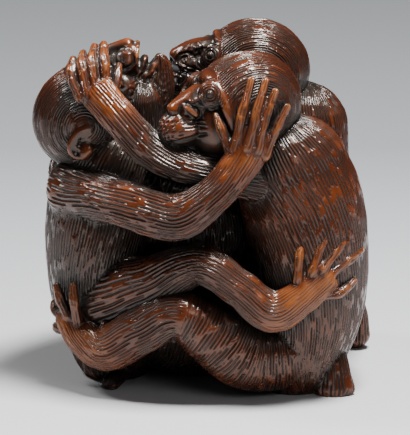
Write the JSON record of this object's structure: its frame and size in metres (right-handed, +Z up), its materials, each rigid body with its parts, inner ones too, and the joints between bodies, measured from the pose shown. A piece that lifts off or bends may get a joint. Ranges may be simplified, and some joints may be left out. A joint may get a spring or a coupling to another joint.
{
  "type": "netsuke",
  "caption": "Carved wooden netsuke of seated monkeys locked in an embrace, hands over one another's faces, worked all round and standing on its own underside.",
  "frame": {"origin": "middle of the bounding box's underside, on the surface the carving stands on", "axes": "+Z up, +X from the single monkey towards the pair, -Y towards the side the picture shows"},
  "size_m": [0.0338, 0.029, 0.0344],
  "materials": {
    "stained_wood": "dark stained, polished by handling"
  },
  "bodies": {
    "root": {"three_monkeys": "stained_wood"}
  },
  "joints": []
}
